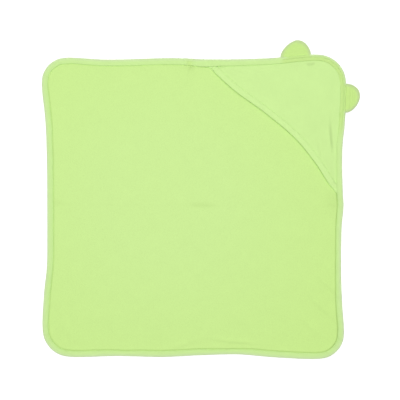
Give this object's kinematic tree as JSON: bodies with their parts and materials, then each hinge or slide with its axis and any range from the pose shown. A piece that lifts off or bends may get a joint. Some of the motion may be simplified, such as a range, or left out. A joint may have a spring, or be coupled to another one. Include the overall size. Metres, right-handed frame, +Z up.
{
  "type": "hooded baby towel",
  "caption": "Square terry bath towel spread flat, with a triangular hood over one corner, a folded tape round the edge and small round ears.",
  "frame": {"origin": "middle of the towel's square, on its underside", "axes": "+Z up from the cloth when it is spread flat, the hood's corner towards +X and +Y"},
  "size_m": [0.7852, 0.7861, 0.0069],
  "materials": {
    "terry": "matt cotton terry knit, small loops",
    "hood_cloth": "matt jersey face of the terry knit",
    "tape": "matt folded rib tape",
    "ear_cloth": "matt jersey",
    "thread": "soft polyester sewing thread"
  },
  "bodies": {
    "towel": {"towel_panel": "terry", "edge_binding": "tape", "binding_thread_top": "thread", "binding_thread_back": "thread"},
    "hood": {"hood_panel": "hood_cloth", "hood_binding": "tape", "hood_thread_top": "thread", "hood_thread_back": "thread"},
    "ear_top": {"ear_top_back": "ear_cloth", "ear_top_front": "ear_cloth", "ear_top_thread": "thread"},
    "ear_side": {"ear_side_back": "ear_cloth", "ear_side_front": "ear_cloth", "ear_side_thread": "thread"}
  },
  "joints": [
    {"name": "hood_opening", "type": "hinge", "parent": "towel", "child": "hood", "pos_m": [0.35, 0.35, 0.007], "axis": [-0.7071, 0.7071, 0], "range_deg": [0, 25]},
    {"name": "ear_top_flip", "type": "hinge", "parent": "towel", "child": "ear_top", "pos_m": [0.251, 0.3724, 0.0041], "axis": [0.9959, 0.0906, 0], "range_deg": [0, 110]},
    {"name": "ear_side_flip", "type": "hinge", "parent": "towel", "child": "ear_side", "pos_m": [0.3756, 0.2677, 0.0041], "axis": [-0.0262, -0.9997, 0], "range_deg": [0, 110]}
  ]
}
